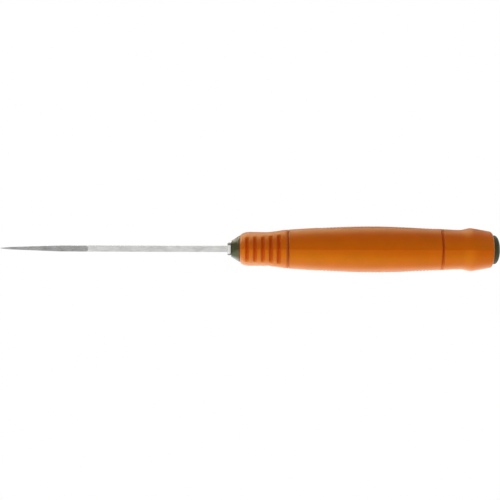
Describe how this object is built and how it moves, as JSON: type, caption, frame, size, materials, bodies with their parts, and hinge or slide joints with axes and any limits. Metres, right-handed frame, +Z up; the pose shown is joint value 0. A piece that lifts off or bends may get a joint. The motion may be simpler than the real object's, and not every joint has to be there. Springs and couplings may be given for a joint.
{
  "type": "puukko knife",
  "caption": "Fixed-blade craft knife with a straight clipped blade, steel ferrule, dark bolster and butt cap, and a soft orange grip with thumb grooves.",
  "frame": {"origin": "On the surface the knife lies on, under the middle of its box", "axes": "+X from the blade's tip to the butt, +Y from the cutting edge to the spine, +Z up, across the blade's thickness"},
  "size_m": [0.2176, 0.0322, 0.0202],
  "materials": {
    "blade_steel": "satin ground steel",
    "ferrule_steel": "polished steel",
    "dark_plastic": "fine moulded texture",
    "orange_grip": "satin soft-touch"
  },
  "bodies": {
    "root": {"blade": "blade_steel", "ferrule": "ferrule_steel", "front_bolster": "dark_plastic", "handle_core": "dark_plastic", "tang_washer": "ferrule_steel", "front_grip": "orange_grip", "main_grip": "orange_grip", "rear_grip": "orange_grip", "butt_cap": "dark_plastic"}
  },
  "joints": []
}
